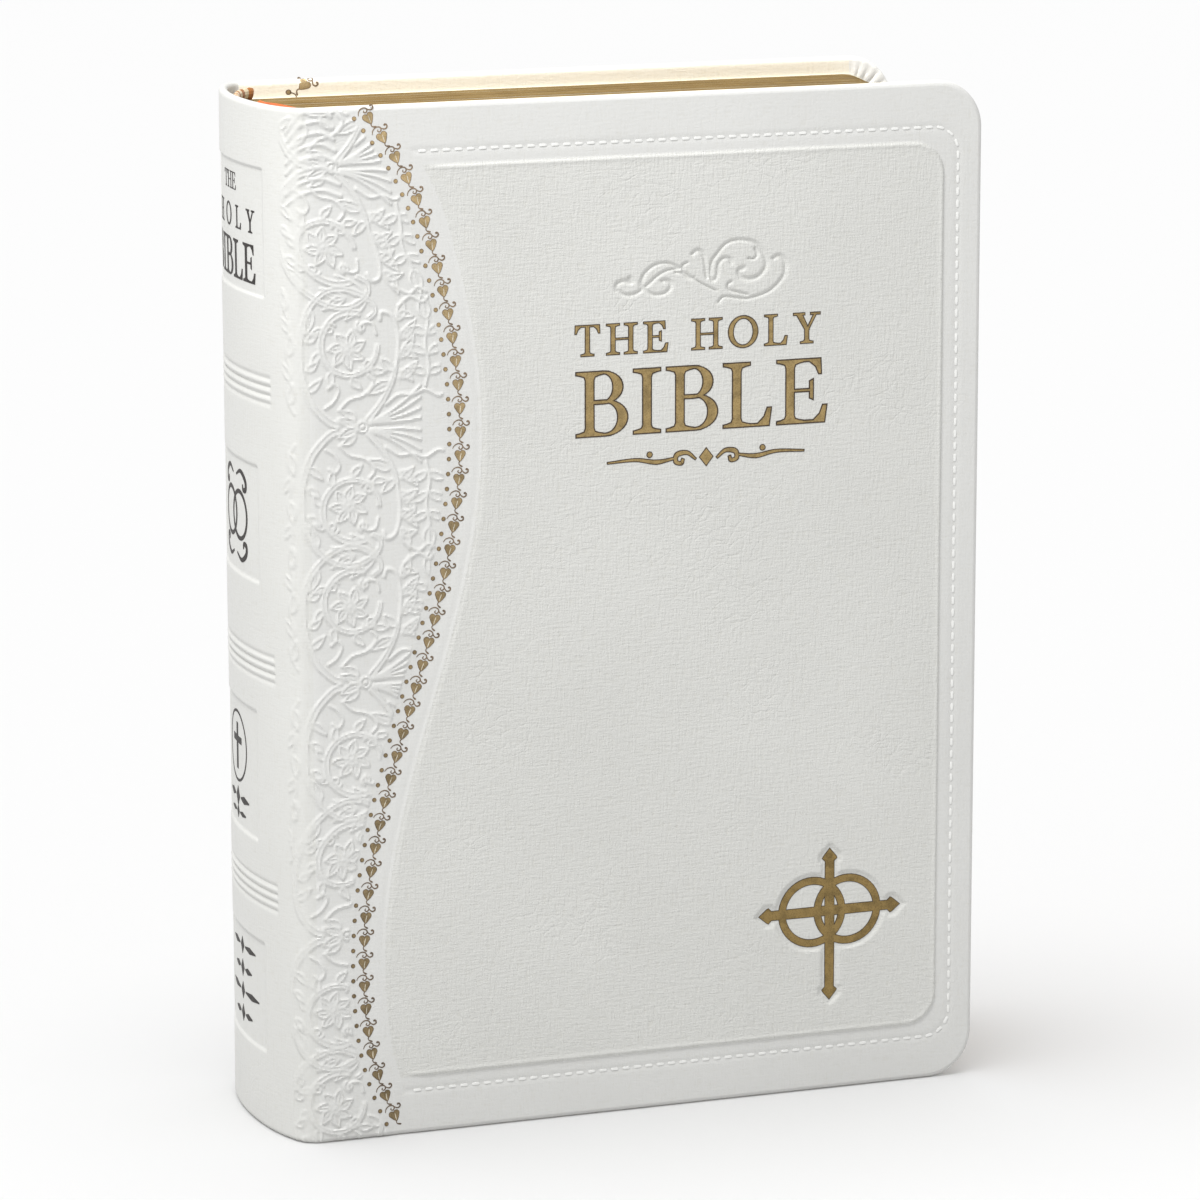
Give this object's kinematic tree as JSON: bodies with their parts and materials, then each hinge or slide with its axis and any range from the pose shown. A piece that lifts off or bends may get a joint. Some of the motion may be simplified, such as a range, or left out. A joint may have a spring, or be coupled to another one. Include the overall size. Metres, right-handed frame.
{
  "type": "bible",
  "caption": "Thick round-backed bible in white leather-look boards with gilt page edges, hinged covers, turning endleaves and a ribbon marker.",
  "frame": {"origin": "centre of the closed book's footprint, on the surface it stands on", "axes": "+Z from tail to head, -Y out of the front cover, -X out of the spine, +X out of the fore-edge"},
  "size_m": [0.169, 0.056, 0.235],
  "materials": {
    "cover_leather": "soft satin, fine cross-hatched grain",
    "board": "dull grey-brown pulp",
    "spine_card": "dull",
    "endpaper": "smooth cream",
    "leaf_paper": "thin matt cream",
    "gilt_pages": "gilt edges with fine page lines",
    "border_gold": "satin foil",
    "title_gold": "satin foil",
    "emblem_gold": "satin foil",
    "spine_foil": "dark bronze foil",
    "kraft_paper": "dull",
    "mull": "open weave",
    "thread": "matt",
    "band_fabric": "woven stripes",
    "ribbon": "satin ribbon"
  },
  "bodies": {
    "book_block": {"spine_skin": "cover_leather", "spine_foil": "spine_foil", "spine_inlay": "spine_card", "hollow_tube": "kraft_paper", "mull_cloth": "mull", "sewing_thread": "thread", "head_band": "band_fabric", "tail_band": "band_fabric", "ribbon_marker": "ribbon", "section_01": "gilt_pages", "section_02": "gilt_pages", "section_03": "gilt_pages", "section_04": "gilt_pages", "section_05": "gilt_pages", "section_06": "gilt_pages", "section_07": "gilt_pages", "section_08": "gilt_pages", "section_09": "gilt_pages", "section_10": "gilt_pages", "section_11": "gilt_pages", "section_12": "gilt_pages"},
    "front_cover": {"front_cover_skin": "cover_leather", "front_board": "board", "front_pastedown": "endpaper", "front_border_foil": "border_gold", "title_foil": "title_gold", "cross_rings_foil": "emblem_gold"},
    "back_cover": {"back_cover_skin": "cover_leather", "back_board": "board", "back_pastedown": "endpaper", "back_border_foil": "border_gold"},
    "front_fly": {"front_flyleaf": "endpaper"},
    "presentation": {"presentation_leaf": "leaf_paper"},
    "title": {"title_leaf": "leaf_paper"},
    "back_fly": {"back_flyleaf": "endpaper"}
  },
  "joints": [
    {"name": "front_cover_open", "type": "hinge", "parent": "book_block", "child": "front_cover", "pos_m": [-0.0755, -0.028, 0.1175], "axis": [0, 0, -1], "range_deg": [0, 180]},
    {"name": "back_cover_open", "type": "hinge", "parent": "book_block", "child": "back_cover", "pos_m": [-0.0755, 0.028, 0.1175], "axis": [0, 0, 1], "range_deg": [0, 180]},
    {"name": "front_flyleaf_turn", "type": "hinge", "parent": "book_block", "child": "front_fly", "pos_m": [-0.0755, -0.028, 0.1175], "axis": [0, 0, -1], "range_deg": [0, 176]},
    {"name": "presentation_leaf_turn", "type": "hinge", "parent": "book_block", "child": "presentation", "pos_m": [-0.0755, -0.028, 0.1175], "axis": [0, 0, -1], "range_deg": [0, 155]},
    {"name": "title_leaf_turn", "type": "hinge", "parent": "book_block", "child": "title", "pos_m": [-0.0755, -0.028, 0.1175], "axis": [0, 0, -1], "range_deg": [0, 112]},
    {"name": "back_flyleaf_turn", "type": "hinge", "parent": "book_block", "child": "back_fly", "pos_m": [-0.0755, 0.028, 0.1175], "axis": [0, 0, 1], "range_deg": [0, 170]}
  ],
  "couplings": [
    {"joint": "front_flyleaf_turn", "follows": "front_cover_open", "ratio": 0.975},
    {"joint": "presentation_leaf_turn", "follows": "front_cover_open", "ratio": 0.86},
    {"joint": "title_leaf_turn", "follows": "front_cover_open", "ratio": 0.62},
    {"joint": "back_flyleaf_turn", "follows": "back_cover_open", "ratio": 0.94}
  ]
}
